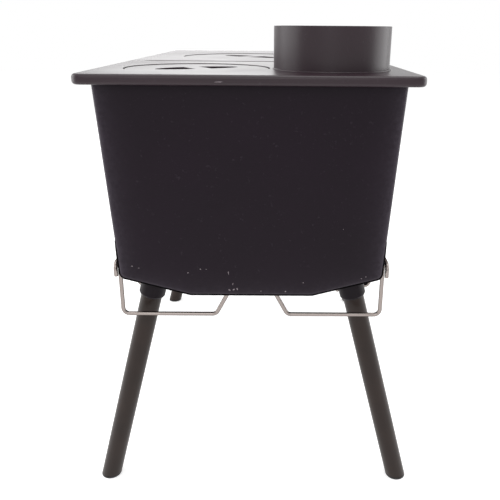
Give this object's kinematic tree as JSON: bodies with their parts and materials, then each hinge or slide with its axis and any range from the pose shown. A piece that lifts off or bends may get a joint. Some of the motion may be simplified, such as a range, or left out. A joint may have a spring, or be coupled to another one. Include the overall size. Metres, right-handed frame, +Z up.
{
  "type": "camping wood stove",
  "caption": "Sheet steel camping wood stove on splayed screw-in legs, with lift-out lids, a flue collar, a hinged door with an air slider, and folding wire side racks.",
  "frame": {"origin": "on the ground, under the middle of the stove's bounding box with its door handle included", "axes": "+Z up, -Y towards the door side, +Y towards the plain rear panel, +X to the right as seen from the door side"},
  "size_m": [0.3494, 0.5966, 0.4894],
  "materials": {
    "black_paint": "matt heat resistant paint",
    "tube_paint": "black paint on steel tube",
    "stainless_wire": "polished stainless wire",
    "bare_steel": "bare steel",
    "black_plastic": "moulded black plastic"
  },
  "bodies": {
    "stove": {"top_plate": "black_paint", "flue_collar": "black_paint", "rear_lid_seat": "black_paint", "front_lid_seat": "black_paint", "body_shell": "black_paint", "rear_panel": "black_paint", "front_panel": "black_paint", "fire_grate": "black_paint", "leg_socket_front_left": "tube_paint", "leg_socket_front_right": "tube_paint", "leg_socket_rear_left": "tube_paint", "leg_socket_rear_right": "tube_paint", "left_rack_lug_front": "black_paint", "left_rack_lug_middle": "black_paint", "left_rack_lug_rear": "black_paint", "right_rack_lug_front": "black_paint", "right_rack_lug_middle": "black_paint", "right_rack_lug_rear": "black_paint", "left_rack_clip_front": "black_paint", "left_rack_clip_rear": "black_paint", "right_rack_clip_front": "black_paint", "right_rack_clip_rear": "black_paint", "upper_hinge_frame_leaf": "black_paint", "lower_hinge_frame_leaf": "black_paint", "upper_hinge_pin": "bare_steel", "lower_hinge_pin": "bare_steel", "latch_keeper": "black_paint"},
    "door": {"door_panel": "black_paint", "door_lip": "black_paint", "upper_hinge_door_leaf": "black_paint", "lower_hinge_door_leaf": "black_paint", "slider_rail_upper": "black_paint", "slider_rail_lower": "black_paint", "latch_bolt": "bare_steel"},
    "air_slider": {"air_slider": "bare_steel", "slider_knob": "bare_steel"},
    "latch": {"latch_lever": "bare_steel", "latch_rod": "bare_steel", "latch_coil": "stainless_wire"},
    "rear_lid": {"rear_lid": "black_paint", "rear_lid_cup": "black_paint"},
    "front_lid": {"front_lid": "black_paint", "front_lid_cup": "black_paint"},
    "left_rack": {"left_rack_hinge_rod": "stainless_wire", "left_rack_grid": "stainless_wire", "left_rack_front_wire": "stainless_wire", "left_rack_rear_wire": "stainless_wire"},
    "leg_front_left": {"leg_front_left": "tube_paint", "leg_plug_front_left": "black_plastic"},
    "leg_rear_left": {"leg_rear_left": "tube_paint", "leg_plug_rear_left": "black_plastic"},
    "right_rack": {"right_rack_hinge_rod": "stainless_wire", "right_rack_grid": "stainless_wire", "right_rack_front_wire": "stainless_wire", "right_rack_rear_wire": "stainless_wire"},
    "leg_front_right": {"leg_front_right": "tube_paint", "leg_plug_front_right": "black_plastic"},
    "leg_rear_right": {"leg_rear_right": "tube_paint", "leg_plug_rear_right": "black_plastic"}
  },
  "joints": [
    {"name": "door_hinge", "type": "hinge", "parent": "stove", "child": "door", "pos_m": [-0.104, -0.2322, 0.354], "axis": [0, 0, -1], "range_deg": [0, 120]},
    {"name": "latch_turn", "type": "hinge", "parent": "door", "child": "latch", "pos_m": [0.073, -0.2292, 0.354], "axis": [0, -1, 0], "range_deg": [0, 90]},
    {"name": "air_slide", "type": "slide", "parent": "door", "child": "air_slider", "axis": [-1, 0, 0], "range_m": [0, 0.013]},
    {"name": "rear_lid_lift", "type": "slide", "parent": "stove", "child": "rear_lid", "axis": [0, 0, 1], "range_m": [0, 0.06]},
    {"name": "front_lid_lift", "type": "slide", "parent": "stove", "child": "front_lid", "axis": [0, 0, 1], "range_m": [0, 0.06]},
    {"name": "left_rack_fold", "type": "hinge", "parent": "stove", "child": "left_rack", "pos_m": [-0.13189, 0.0243, 0.27], "axis": [0, 1, 0], "range_deg": [0, 182]},
    {"name": "leg_front_left_unscrew", "type": "slide", "parent": "stove", "child": "leg_front_left", "axis": [-0.2559, 0, -0.9667], "range_m": [0, 0.03]},
    {"name": "leg_rear_left_unscrew", "type": "slide", "parent": "stove", "child": "leg_rear_left", "axis": [-0.2559, 0, -0.9667], "range_m": [0, 0.03]},
    {"name": "right_rack_fold", "type": "hinge", "parent": "stove", "child": "right_rack", "pos_m": [0.13189, 0.0243, 0.27], "axis": [0, -1, 0], "range_deg": [0, 182]},
    {"name": "leg_front_right_unscrew", "type": "slide", "parent": "stove", "child": "leg_front_right", "axis": [0.2559, 0, -0.9667], "range_m": [0, 0.03]},
    {"name": "leg_rear_right_unscrew", "type": "slide", "parent": "stove", "child": "leg_rear_right", "axis": [0.2559, 0, -0.9667], "range_m": [0, 0.03]}
  ]
}
